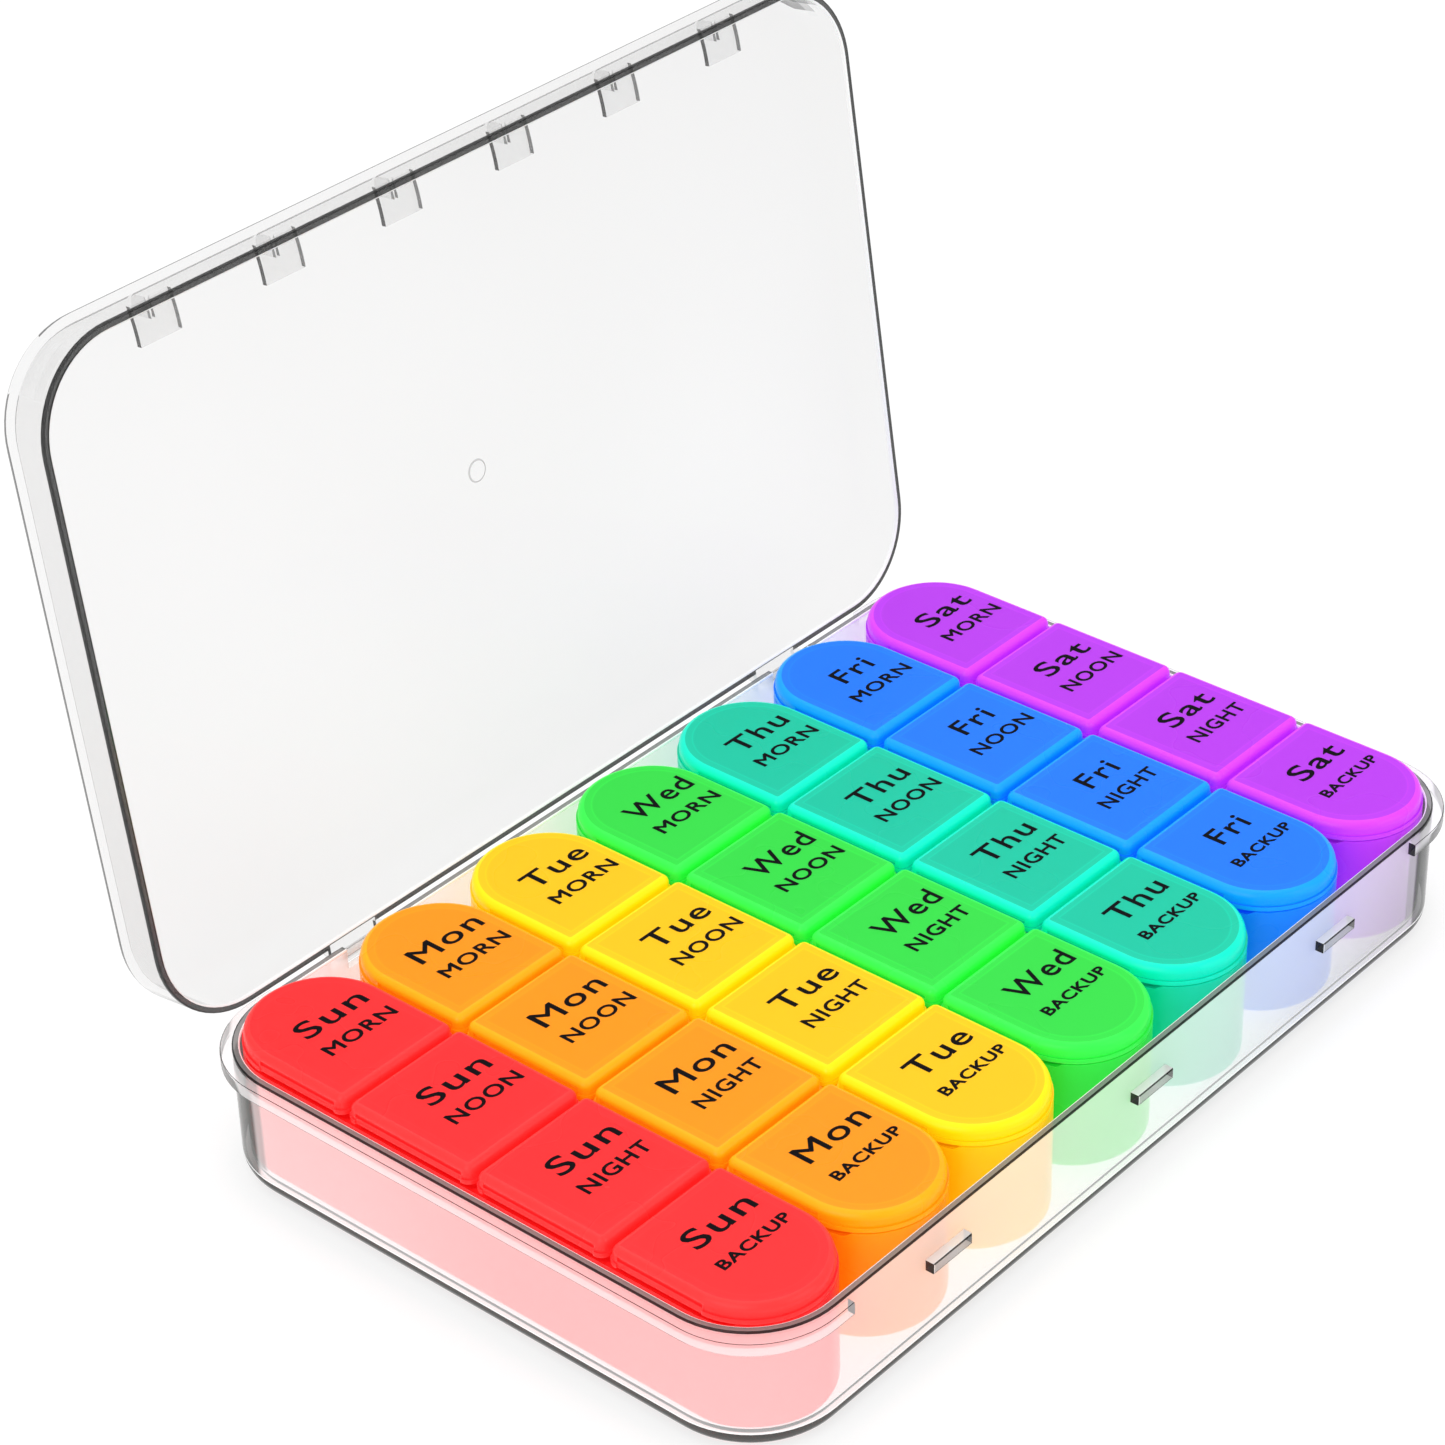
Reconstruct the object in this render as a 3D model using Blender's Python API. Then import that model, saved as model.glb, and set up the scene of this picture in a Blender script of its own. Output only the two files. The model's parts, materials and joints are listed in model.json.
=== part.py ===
"""Travel pill organizer: a clear hinged case holding seven lift-out day boxes,
each with four compartments under four hinged flaps.

World frame, metres: +Z up, +X along the case's long side (first day at -X,
last day at +X), +Y toward the case hinge. The origin is the centre of the
tray's flat underside. The case lid is built standing open on its hinge stop,
the boxes sit in the tray and every flap is shut.
"""
import math
import bpy
import bmesh
from mathutils import Matrix, Vector

MM = 0.001

# ---- day boxes ----
DAYS = ("sunday", "monday", "tuesday", "wednesday", "thursday", "friday", "saturday")
TIMES = ("morning", "noon", "night", "backup")
BOX_WIDTH = 29.2 * MM
BOX_LENGTH = 131.2 * MM        # round end to round end
BOX_HEIGHT = 23.9 * MM         # without the flaps
BOX_WALL = 1.3 * MM
BOX_FLOOR = 1.4 * MM
BOX_FOOT_RADIUS = 2.0 * MM     # rounding around the underside
DIVIDER = 1.4 * MM             # wall between two compartments
POCKET_CORNER = 2.4 * MM       # upright corners of a compartment
POCKET_FOOT = 1.6 * MM         # slope around a compartment's floor

# ---- flaps ----
FLAP_HEIGHT = 3.7 * MM
FLAP_PITCH = 30.9 * MM         # groove to groove along a box
FLAP_GROOVE = 0.6 * MM         # open groove between two flaps
FLAP_PLATE = 1.3 * MM
FLAP_SKIRT = 1.2 * MM
FLAP_ROUND = 1.6 * MM          # rounding of the top edge
FLAP_CORNER = 1.1 * MM         # plan corners beside a groove
FLAP_HINGE = 2.6 * MM          # hinge axis in from the box's side and down from the flap's top
RECESS_DEPTH = 0.6 * MM        # long recess above the knuckle bar, on the hinge side
RECESS_HEIGHT = 0.8 * MM
RECESS_TOP = 1.5 * MM          # recess below the flap's top
EAR = 2.3 * MM                 # full-depth end left beside the recess
SEAL_INSET = 3.1 * MM          # sealing rim under the flap, in from the flap's outside
SEAL_WALL = 0.9 * MM
SEAL_REACH = 0.9 * MM          # sealing rim below the flap's skirt

# ---- clearances ----
BOX_GAP = 0.8 * MM             # box to box
END_GAP = 0.9 * MM             # box end to tray wall
SIDE_GAP = 1.2 * MM            # outer box to tray wall
SEAT_GAP = 0.3 * MM            # box on tray floor, flap on box
SWEEP_GAP = 0.1 * MM           # around the arc that a flap's hinge side sweeps
RIM_GAP = 0.2 * MM             # lid rim over tray rim
PIN_GAP = 0.3 * MM             # lid knuckle around its pin and beside the ears
PAD_GAP = 0.35 * MM            # hold-down pad over the flaps when shut

# ---- tray ----
CASE_WALL = 1.5 * MM
CASE_CORNER_EASE = 2.5 * MM    # tray's inner corner radius beyond a box's end radius
TRAY_FLOOR = 2.0 * MM
BOX_PROUD = 3.6 * MM           # flaps stand this far above the tray's rim
TRAY_FOOT_RADIUS = 4.0 * MM
TRAY_FOOT_INNER = 2.0 * MM
LEDGE_REACH = 1.6 * MM         # side ledge, out from the wall
LEDGE_HEIGHT = 2.7 * MM
LEDGE_DROP = 0.8 * MM          # ledge below the rim
LEDGE_RETURN = 3.2 * MM        # ledge past each corner's arc
BUMP_COUNT = 3
BUMP_LENGTH = 10.6 * MM
BUMP_HEIGHT = 2.2 * MM
BUMP_REACH = 2.0 * MM
BUMP_DROP = 6.3 * MM           # snap bump below the rim
BUMP_SPACING = 59.3 * MM

# ---- case hinge ----
HINGE_OUT = 0.5 * MM           # axis out from the tray's back wall
HINGE_DROP = 2.7 * MM          # axis below the tray's rim
HINGE_SPACING = 124.0 * MM     # between the two knuckles
LID_OPEN_DEG = 97.7
KNUCKLE_RADIUS = 1.5 * MM
KNUCKLE_LENGTH = 12.0 * MM
PIN_RADIUS = 0.7 * MM
EAR_LENGTH = 3.0 * MM
EAR_TAPER = 3.0 * MM           # ears run this far down the wall below the knuckle
ARM_HEIGHT = 3.0 * MM          # knuckle arm up the lid's skirt

# ---- case lid ----
LID_DEPTH = 12.4 * MM          # skirt and panel together
LID_PANEL = 1.5 * MM
LID_ROUND = 3.0 * MM
LID_ROUND_INNER = 2.4 * MM
PAD_COUNT = 6                  # one over each gap between two boxes
PAD_LENGTH = 9.6 * MM
PAD_REACH = 7.6 * MM           # pad in from the lid's front wall
PAD_THICKNESS = 1.0 * MM
PAD_CURL = 1.0 * MM            # pad's root above its tip
GUSSET_THICKNESS = 0.9 * MM
GUSSET_REACH = 4.0 * MM

# ---- how finely a quarter round is divided ----
CASE_STEPS = 6
END_STEPS = 5
CORNER_STEPS = 2
FOOT_STEPS = 3
FLAP_STEPS = 2
BAR_STEPS = 4
SWEEP_STATIONS = (0, 12, 19, 25, 31)   # degrees around a round end where the sweep's radius is set

# ---- places that follow from the sizes ----
BOX_PITCH = BOX_WIDTH + BOX_GAP
BOX_HALF = BOX_WIDTH / 2
BOX_END = BOX_LENGTH / 2
BOX_BOTTOM = TRAY_FLOOR + SEAT_GAP
BOX_TOP = BOX_BOTTOM + BOX_HEIGHT
FLAP_BOTTOM = BOX_TOP + SEAT_GAP
FLAP_TOP = FLAP_BOTTOM + FLAP_HEIGHT
FLAP_AXIS_X = FLAP_HINGE - BOX_HALF
FLAP_AXIS_Z = FLAP_TOP - FLAP_HINGE
CASE_X = BOX_PITCH * (len(DAYS) - 1) / 2 + BOX_HALF + SIDE_GAP + CASE_WALL
CASE_Y = BOX_END + END_GAP + CASE_WALL
CASE_CORNER = BOX_HALF + CASE_CORNER_EASE + CASE_WALL
RIM = FLAP_TOP - BOX_PROUD
LID_BOTTOM = RIM + RIM_GAP
LID_TOP = LID_BOTTOM + LID_DEPTH
LID_AXIS = (0.0, CASE_Y + HINGE_OUT, RIM - HINGE_DROP)

CLEAR = (0.93, 0.94, 0.94)
TINTS = {
    "sunday": (1.0, 0.045, 0.05),
    "monday": (1.0, 0.38, 0.01),
    "tuesday": (1.0, 0.68, 0.01),
    "wednesday": (0.05, 0.83, 0.09),
    "thursday": (0.01, 0.68, 0.46),
    "friday": (0.02, 0.25, 1.0),
    "saturday": (0.58, 0.05, 0.95),
}


# ---- outlines ----
def arc(centre, radius, start, steps, sweep=90.0):
    """Points of an arc, in degrees counter-clockwise."""
    for k in range(steps + 1):
        a = math.radians(start + sweep * k / steps)
        yield centre[0] + radius * math.cos(a), centre[1] + radius * math.sin(a)


def plan(half, low, high, low_radius, high_radius, low_steps, high_steps):
    """Rounded outline from y = low to y = high, symmetric about x = 0."""
    points = list(arc((half - low_radius, low + low_radius), low_radius, -90, low_steps))
    points += arc((half - high_radius, high - high_radius), high_radius, 0, high_steps)
    points += arc((high_radius - half, high - high_radius), high_radius, 90, high_steps)
    points += arc((low_radius - half, low + low_radius), low_radius, 180, low_steps)
    spread = [p for p, q in zip(points, points[1:] + points[:1]) if math.dist(p, q) > MM / 1000]
    return spread


def case_plan(inset):
    radius = CASE_CORNER - inset
    return plan(CASE_X - inset, inset - CASE_Y, CASE_Y - inset, radius, radius, CASE_STEPS, CASE_STEPS)


def box_plan(inset):
    half = BOX_HALF - inset
    return plan(half, inset - BOX_END, BOX_END - inset, half, half, END_STEPS, END_STEPS)


def bay_plan(bay, margin, inset, corner):
    """Outline of one of a box's four bays, in from its sides by inset.

    A bay stops at the box's round end or, by a margin, short of the middle of a divider.
    """
    cuts = [BOX_END, FLAP_PITCH, 0.0, -FLAP_PITCH, -BOX_END]
    high, low = cuts[bay], cuts[bay + 1]
    half = BOX_HALF - inset
    if bay > 0:
        high -= margin
    if bay < len(TIMES) - 1:
        low += margin
    corner = max(corner - inset, MM / 10)
    high_radius, high_steps = (half, END_STEPS) if bay == 0 else (corner, CORNER_STEPS)
    low_radius, low_steps = (half, END_STEPS) if bay == len(TIMES) - 1 else (corner, CORNER_STEPS)
    return plan(half, low + inset, high - inset, low_radius, high_radius, low_steps, high_steps)


def level(outline, z):
    return [(x, y, z) for x, y in outline]


def quarter(radius, steps):
    """Inset and rise of each step up a rounded edge, from the flat to the side."""
    for u, v in arc((radius, radius), radius, -90, steps, -90.0):
        yield u, v


# ---- solids ----
def loft(rings):
    """Closed solid through rings of equal length, capped at both ends."""
    bm = bmesh.new()
    made = [[bm.verts.new(point) for point in ring] for ring in rings]
    for a, b in zip(made, made[1:]):
        for k in range(len(a)):
            bm.faces.new((a[k - 1], a[k], b[k], b[k - 1]))
    bm.faces.new(reversed(made[0]))
    bm.faces.new(made[-1])
    bmesh.ops.recalc_face_normals(bm, faces=bm.faces)
    if bm.calc_volume(signed=True) < 0:
        bmesh.ops.reverse_faces(bm, faces=bm.faces)
    mesh = bpy.data.meshes.new("solid")
    bm.to_mesh(mesh)
    bm.free()
    return mesh


def block(x0, x1, y0, y1, z0, z1):
    corners = ((x0, y0), (x1, y0), (x1, y1), (x0, y1))
    return loft([level(corners, z) for z in (z0, z1)])


def prism_x(outline, x0, x1):
    """Extrude a (y, z) outline along X."""
    return loft([[(x, y, z) for y, z in outline] for x in (x0, x1)])


def circle(centre, radius):
    return list(arc(centre, radius, 0, 4 * BAR_STEPS, 360.0))[:-1]


def bar_x(x0, x1, centre, radius):
    """Round bar along X through the (y, z) centre."""
    return prism_x(circle(centre, radius), x0, x1)


def spindle_y(stations, centre):
    """Round bar along Y through the (x, z) centre, with a radius at each station."""
    return loft([[(x, y, z) for x, z in circle(centre, radius)] for y, radius in stations])


def combine(mesh, operation, others):
    """Boolean of a mesh with several others, as a new triangulated mesh."""
    base = bpy.data.objects.new("base", mesh)
    bpy.context.scene.collection.objects.link(base)
    helpers = []
    for other in others:
        helper = bpy.data.objects.new("cutter", other)
        helper.hide_render = True
        helper.display_type = 'WIRE'
        bpy.context.scene.collection.objects.link(helper)
        helpers.append(helper)
        modifier = base.modifiers.new(operation, 'BOOLEAN')
        modifier.solver = 'EXACT'
        modifier.operation = operation
        modifier.object = helper
    bpy.context.view_layer.update()
    depsgraph = bpy.context.evaluated_depsgraph_get()
    result = bpy.data.meshes.new_from_object(base.evaluated_get(depsgraph))
    for item in [base] + helpers:
        bpy.data.objects.remove(item, do_unlink=True)
    bm = bmesh.new()
    bm.from_mesh(result)
    bmesh.ops.remove_doubles(bm, verts=bm.verts, dist=MM / 500)
    bmesh.ops.dissolve_limit(bm, angle_limit=math.radians(0.2), verts=bm.verts, edges=bm.edges)
    bmesh.ops.triangulate(bm, faces=bm.faces)
    bm.to_mesh(result)
    bm.free()
    return result


# ---- tray ----
def build_ledges():
    """Ledges around both short sides, running just past the corners."""
    corner = plan(CASE_X + LEDGE_REACH, -CASE_Y - LEDGE_REACH, CASE_Y + LEDGE_REACH,
                  CASE_CORNER, CASE_CORNER, CASE_STEPS, CASE_STEPS)
    top = RIM - LEDGE_DROP
    bottom = top - LEDGE_HEIGHT
    slab = loft([level(corner, z) for z in (bottom, top)])
    core = loft([level(case_plan(CASE_WALL / 2), z) for z in (bottom - LEDGE_HEIGHT, top + LEDGE_HEIGHT)])
    stop = CASE_X - CASE_CORNER - LEDGE_RETURN
    middle = block(-stop, stop, -2 * CASE_Y, 2 * CASE_Y, bottom - LEDGE_HEIGHT, top + LEDGE_HEIGHT)
    return combine(combine(slab, 'DIFFERENCE', [core]), 'DIFFERENCE', [middle])


def build_bump(x):
    top = RIM - BUMP_DROP
    return block(x - BUMP_LENGTH / 2, x + BUMP_LENGTH / 2,
                 -CASE_Y - BUMP_REACH, -CASE_Y + CASE_WALL / 2, top - BUMP_HEIGHT, top)


def build_ear(x0, x1):
    """Hinge ear on the back wall, round at the axis and tapering into the wall."""
    y, z = LID_AXIS[1:]
    root = CASE_Y - CASE_WALL / 2
    outline = list(arc((y, z), KNUCKLE_RADIUS, -90, 2 * BAR_STEPS, 180.0))
    outline += [(root, z + KNUCKLE_RADIUS), (root, z - KNUCKLE_RADIUS - EAR_TAPER)]
    return prism_x(outline, x0, x1)


def build_tray():
    rings = [level(case_plan(inset), rise) for inset, rise in quarter(TRAY_FOOT_RADIUS, FOOT_STEPS)]
    rings += [level(case_plan(0), RIM), level(case_plan(CASE_WALL), RIM)]
    inner = [level(case_plan(CASE_WALL + inset), TRAY_FLOOR + rise)
             for inset, rise in quarter(TRAY_FOOT_INNER, FOOT_STEPS)]
    tray = loft(rings + inner[::-1])
    added = [build_ledges()]
    added += [build_bump((k - (BUMP_COUNT - 1) / 2) * BUMP_SPACING) for k in range(BUMP_COUNT)]
    notches, pins = [], []
    room = KNUCKLE_LENGTH / 2 + PIN_GAP
    swing = KNUCKLE_RADIUS + PIN_GAP
    for x in (-HINGE_SPACING / 2, HINGE_SPACING / 2):
        added.append(build_ear(x - room - EAR_LENGTH, x - room))
        added.append(build_ear(x + room, x + room + EAR_LENGTH))
        notches.append(block(x - room, x + room, CASE_Y - 2 * CASE_WALL, CASE_Y + 2 * CASE_WALL,
                             LID_AXIS[2] - swing, RIM + CASE_WALL))
        pins.append(bar_x(x - room - EAR_LENGTH / 2, x + room + EAR_LENGTH / 2, LID_AXIS[1:], PIN_RADIUS))
    tray = combine(tray, 'UNION', added)
    tray = combine(tray, 'DIFFERENCE', notches)
    return combine(tray, 'UNION', pins)


# ---- case lid, modelled shut and then turned open ----
def build_pad(x):
    """Curled hold-down pad that reaches in over the gap between two boxes."""
    root = CASE_WALL / 2 - CASE_Y
    face = CASE_WALL - CASE_Y
    low = FLAP_TOP + PAD_GAP
    under = [(root, low + PAD_CURL)]
    for k in range(BAR_STEPS + 1):
        along = k / BAR_STEPS
        under.append((face + PAD_REACH * along, low + PAD_CURL * (1 - along) ** 2))
    over = [(y, z + PAD_THICKNESS) for y, z in reversed(under)]
    return prism_x(under + over, x - PAD_LENGTH / 2, x + PAD_LENGTH / 2)


def build_gusset(x):
    """Thin web from a pad's middle up to the panel."""
    root = CASE_WALL / 2 - CASE_Y
    tip = CASE_WALL - CASE_Y + GUSSET_REACH
    low = FLAP_TOP + PAD_GAP + PAD_THICKNESS / 2
    high = LID_TOP - LID_PANEL / 2
    outline = ((root, low + PAD_CURL), (tip, low), (tip, high), (root, high))
    return prism_x(outline, x - GUSSET_THICKNESS / 2, x + GUSSET_THICKNESS / 2)


def build_knuckle(x):
    """Knuckle below the back skirt, on an arm that climbs the skirt's outside."""
    y, z = LID_AXIS[1:]
    outline = list(arc((y, z), KNUCKLE_RADIUS, 180, 2 * BAR_STEPS, 180.0))
    outline += [(y + KNUCKLE_RADIUS, LID_BOTTOM + ARM_HEIGHT / 2), (CASE_Y, LID_BOTTOM + ARM_HEIGHT),
                (y - KNUCKLE_RADIUS, LID_BOTTOM + ARM_HEIGHT)]
    return prism_x(outline, x - KNUCKLE_LENGTH / 2, x + KNUCKLE_LENGTH / 2)


def build_lid():
    outer = [level(case_plan(inset), LID_TOP - drop) for inset, drop in quarter(LID_ROUND, FOOT_STEPS)]
    rims = [level(case_plan(0), LID_BOTTOM), level(case_plan(CASE_WALL), LID_BOTTOM)]
    inner = [level(case_plan(CASE_WALL + inset), LID_TOP - LID_PANEL - drop)
             for inset, drop in quarter(LID_ROUND_INNER, FOOT_STEPS)]
    lid = loft(outer + rims + inner[::-1])
    added, bores = [], []
    for k in range(PAD_COUNT):
        x = (k - (PAD_COUNT - 1) / 2) * BOX_PITCH
        added += [build_pad(x), build_gusset(x)]
    for x in (-HINGE_SPACING / 2, HINGE_SPACING / 2):
        added.append(build_knuckle(x))
        bores.append(bar_x(x - KNUCKLE_LENGTH, x + KNUCKLE_LENGTH, LID_AXIS[1:], PIN_RADIUS + PIN_GAP))
    lid = combine(lid, 'UNION', added)
    lid = combine(lid, 'DIFFERENCE', bores)
    axis = Matrix.Translation(LID_AXIS)
    lid.transform(axis @ Matrix.Rotation(-math.radians(LID_OPEN_DEG), 4, 'X') @ axis.inverted())
    return lid


# ---- one day box and its flaps, centred on x = 0 ----
def build_pocket(bay):
    margin = DIVIDER / 2 - BOX_WALL
    floor = BOX_BOTTOM + BOX_FLOOR
    sides = ((POCKET_FOOT, floor), (0.0, floor + POCKET_FOOT), (0.0, BOX_TOP + BOX_WALL))
    corner = POCKET_CORNER + BOX_WALL
    return loft([level(bay_plan(bay, margin, BOX_WALL + inset, corner + inset / 2), z) for inset, z in sides])


def build_sweep():
    """Room for the flaps' hinge sides to turn, tapering off into the round ends."""
    drop = FLAP_AXIS_Z - FLAP_BOTTOM
    ease = FLAP_ROUND * (1 - math.sqrt(0.5))
    stations = []
    for degrees in SWEEP_STATIONS:
        turn = math.radians(degrees)
        edge = BOX_HALF * math.cos(turn) + FLAP_AXIS_X
        under, over = math.hypot(edge, drop), math.hypot(edge - ease, FLAP_HINGE - ease)
        reach = under if degrees == SWEEP_STATIONS[-1] else max(under, over)
        stations.append((BOX_END - BOX_HALF + BOX_HALF * math.sin(turn), reach + SWEEP_GAP))
    stations = [(-y, radius) for y, radius in reversed(stations)] + stations
    return spindle_y(stations, (FLAP_AXIS_X, FLAP_AXIS_Z))


def build_box():
    rings = [level(box_plan(inset), BOX_BOTTOM + rise) for inset, rise in quarter(BOX_FOOT_RADIUS, FOOT_STEPS)]
    rings.append(level(box_plan(0), BOX_TOP))
    pockets = [build_pocket(bay) for bay in range(len(TIMES))]
    return combine(loft(rings), 'DIFFERENCE', pockets + [build_sweep()])


def build_flap(bay):
    """Hollow cap with a recess along its hinge side and a sealing rim beneath."""
    margin = FLAP_GROOVE / 2
    outer = [level(bay_plan(bay, margin, inset, FLAP_CORNER), FLAP_TOP - drop)
             for inset, drop in quarter(FLAP_ROUND, FLAP_STEPS)]
    outer.append(level(bay_plan(bay, margin, 0, FLAP_CORNER), FLAP_BOTTOM))
    hollow = [level(bay_plan(bay, margin, FLAP_SKIRT, FLAP_CORNER), z)
              for z in (FLAP_BOTTOM, FLAP_TOP - FLAP_PLATE)]
    foot = FLAP_BOTTOM - SEAL_REACH
    corner = FLAP_CORNER + SEAL_INSET
    ceiling = FLAP_TOP - FLAP_PLATE
    rim = loft([level(bay_plan(bay, margin, SEAL_INSET, corner), z) for z in (foot, ceiling + FLAP_PLATE / 2)])
    well = loft([level(bay_plan(bay, margin, SEAL_INSET + SEAL_WALL, corner), z)
                 for z in (foot - SEAL_REACH, ceiling)])
    ys = [y for _, y in bay_plan(bay, margin, 0, FLAP_CORNER)]
    near = BOX_HALF if bay == len(TIMES) - 1 else EAR
    far = BOX_HALF if bay == 0 else EAR
    top = FLAP_TOP - RECESS_TOP
    recess = block(-BOX_HALF - RECESS_DEPTH, -BOX_HALF + RECESS_DEPTH,
                   min(ys) + near, max(ys) - far, top - RECESS_HEIGHT, top)
    flap = combine(loft(outer + hollow), 'DIFFERENCE', [recess])
    return combine(flap, 'UNION', [combine(rim, 'DIFFERENCE', [well])])


# ---- assembly ----
def plastic(name, colour, clearness):
    material = bpy.data.materials.new(name)
    material.use_nodes = True
    shader = material.node_tree.nodes["Principled BSDF"]
    shader.inputs["Base Color"].default_value = (*colour, 1.0)
    shader.inputs["Roughness"].default_value = 0.12
    shader.inputs["Metallic"].default_value = 0.0
    shader.inputs["Transmission Weight"].default_value = clearness
    return material


def place(name, mesh, origin, colour, clearness):
    """One named piece whose own origin is the given point."""
    mesh.name = name
    mesh.transform(Matrix.Translation(-Vector(origin)))
    mesh.materials.append(plastic(name + "_plastic", colour, clearness))
    item = bpy.data.objects.new(name, mesh)
    item.location = origin
    bpy.context.scene.collection.objects.link(item)


def main():
    for item in list(bpy.data.objects):
        bpy.data.objects.remove(item, do_unlink=True)
    place("tray", build_tray(), (0, 0, 0), CLEAR, 0.9)
    place("case_lid", build_lid(), LID_AXIS, CLEAR, 0.9)
    box = build_box()
    flaps = [build_flap(bay) for bay in range(len(TIMES))]
    for count, day in enumerate(DAYS):
        x = (count - (len(DAYS) - 1) / 2) * BOX_PITCH
        shift = Matrix.Translation((x, 0, 0))
        body = box.copy()
        body.transform(shift)
        place(day + "_box", body, (x, 0, BOX_BOTTOM), TINTS[day], 0.3)
        for time, shape in zip(TIMES, flaps):
            flap = shape.copy()
            flap.transform(shift)
            place(day + "_" + time + "_flap", flap, (x + FLAP_AXIS_X, 0, FLAP_AXIS_Z), TINTS[day], 0.3)


main()
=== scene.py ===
import json
import math
import bpy
import bmesh
from mathutils import Matrix, Vector


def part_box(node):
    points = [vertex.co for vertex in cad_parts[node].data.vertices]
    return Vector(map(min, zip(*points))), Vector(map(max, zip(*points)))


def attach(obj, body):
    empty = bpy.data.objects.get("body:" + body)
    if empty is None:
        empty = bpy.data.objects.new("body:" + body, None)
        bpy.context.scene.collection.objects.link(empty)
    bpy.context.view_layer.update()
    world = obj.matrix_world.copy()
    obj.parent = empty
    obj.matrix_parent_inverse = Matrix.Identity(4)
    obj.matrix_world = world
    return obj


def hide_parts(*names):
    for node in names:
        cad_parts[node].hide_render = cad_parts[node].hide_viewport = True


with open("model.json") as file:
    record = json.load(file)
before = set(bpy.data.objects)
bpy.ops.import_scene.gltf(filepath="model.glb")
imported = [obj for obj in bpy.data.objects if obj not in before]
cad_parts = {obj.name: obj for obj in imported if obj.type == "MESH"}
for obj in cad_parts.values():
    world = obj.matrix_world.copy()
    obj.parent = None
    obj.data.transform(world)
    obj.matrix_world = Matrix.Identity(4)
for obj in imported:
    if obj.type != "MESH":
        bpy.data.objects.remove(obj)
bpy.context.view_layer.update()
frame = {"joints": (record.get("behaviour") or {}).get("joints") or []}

mm = 0.001
days = ["sunday", "monday", "tuesday", "wednesday", "thursday", "friday", "saturday"]
times = ["morning", "noon", "night", "backup"]

# where the pieces stand, read from the fixed frame
boxLow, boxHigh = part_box("wednesday_box")
flapLow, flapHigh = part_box("wednesday_noon_flap")
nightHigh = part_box("wednesday_night_flap")[1]
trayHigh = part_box("tray")[1]
boxHalf = boxHigh.x
boxEnd = boxHigh.y
flapTop = flapHigh.z
flapHeight = 3.7 * mm  # without the sealing rim under it
flapGroove = flapLow.y - nightHigh.y
flapPitch = flapHigh.y - flapLow.y + flapGroove
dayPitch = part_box("thursday_box")[0].x - boxLow.x
hinge = {joint["name"]: joint for joint in frame["joints"]}
lidAxis = Vector(hinge["case_lid_hinge"]["pos_m"])
flapAxis = Vector(hinge["wednesday_noon_flap_hinge"]["pos_m"])
openAngle = math.radians(-hinge["case_lid_hinge"]["range_deg"][0])
mostly = 0.9  # a direction counts as along an axis above this
near = mm / 10  # a point this close to a face counts as on it


# modelling helpers
def calm():
    if bpy.context.mode != 'OBJECT':
        bpy.ops.object.mode_set(mode='OBJECT')
    bpy.ops.object.select_all(action='DESELECT')


def settle(piece):
    bpy.ops.object.transform_apply(location=True, rotation=True, scale=True)
    return piece


def block(name, low, high):
    calm()
    bpy.ops.mesh.primitive_cube_add(size=1, location=[(a + b) / 2 for a, b in zip(low, high)])
    piece = bpy.context.object
    piece.name = piece.data.name = name
    piece.scale = [b - a for a, b in zip(low, high)]
    return settle(piece)


def bar(name, radius, start, end, sides=32):
    calm()
    start, end = Vector(start), Vector(end)
    turn = (end - start).to_track_quat('Z', 'Y').to_euler()
    bpy.ops.mesh.primitive_cylinder_add(vertices=sides, radius=radius, depth=(end - start).length,
                                        location=(start + end) / 2, rotation=turn)
    piece = bpy.context.object
    piece.name = piece.data.name = name
    return settle(piece)


def edit(piece):
    calm()
    piece.select_set(True)
    bpy.context.view_layer.objects.active = piece
    bpy.ops.object.mode_set(mode='EDIT')


def pick(kind, test):  # select faces by centre and normal, or edges by middle and direction
    bpy.ops.mesh.select_mode(type=kind)
    bpy.ops.mesh.select_all(action='DESELECT')
    mesh = bmesh.from_edit_mesh(bpy.context.object.data)
    if kind == 'FACE':
        found = [f for f in mesh.faces if test(f.calc_center_median(), f.normal)]
    else:
        found = [e for e in mesh.edges
                 if test((e.verts[0].co + e.verts[1].co) / 2, (e.verts[1].co - e.verts[0].co).normalized())]
    for part in found:
        part.select_set(True)
    bmesh.update_edit_mesh(bpy.context.object.data)


def roundSelected(radius, steps, outline=False):
    if outline:
        bpy.ops.mesh.region_to_loop()
    bpy.ops.mesh.bevel(offset=radius, segments=steps, affect='EDGES')


def push(x=0.0, y=0.0, z=0.0):
    bpy.ops.mesh.extrude_region_move(TRANSFORM_OT_translate={"value": (x, y, z)})


def crown(radius, steps):  # a quarter round above the selected face, ending flat
    for k in range(steps):
        a, b = math.pi / 2 * k / steps, math.pi / 2 * (k + 1) / steps
        inward, rise = math.cos(a) - math.cos(b), math.sin(b) - math.sin(a)
        bpy.ops.mesh.inset(thickness=radius * inward, depth=radius * rise)


def tidyMesh(piece):
    edit(piece)
    bpy.ops.mesh.select_all(action='SELECT')
    bpy.ops.mesh.remove_doubles(threshold=2e-6)
    calm()
    return piece


def carve(piece, tools, operation='DIFFERENCE'):
    calm()
    bpy.context.view_layer.objects.active = piece
    piece.select_set(True)
    for tool in tools:
        modifier = piece.modifiers.new("carve", 'BOOLEAN')
        modifier.solver = 'EXACT'
        modifier.operation = operation
        modifier.object = tool
        bpy.ops.object.modifier_apply(modifier=modifier.name)
    for tool in tools:
        bpy.data.objects.remove(tool, do_unlink=True)
    return tidyMesh(piece)


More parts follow.
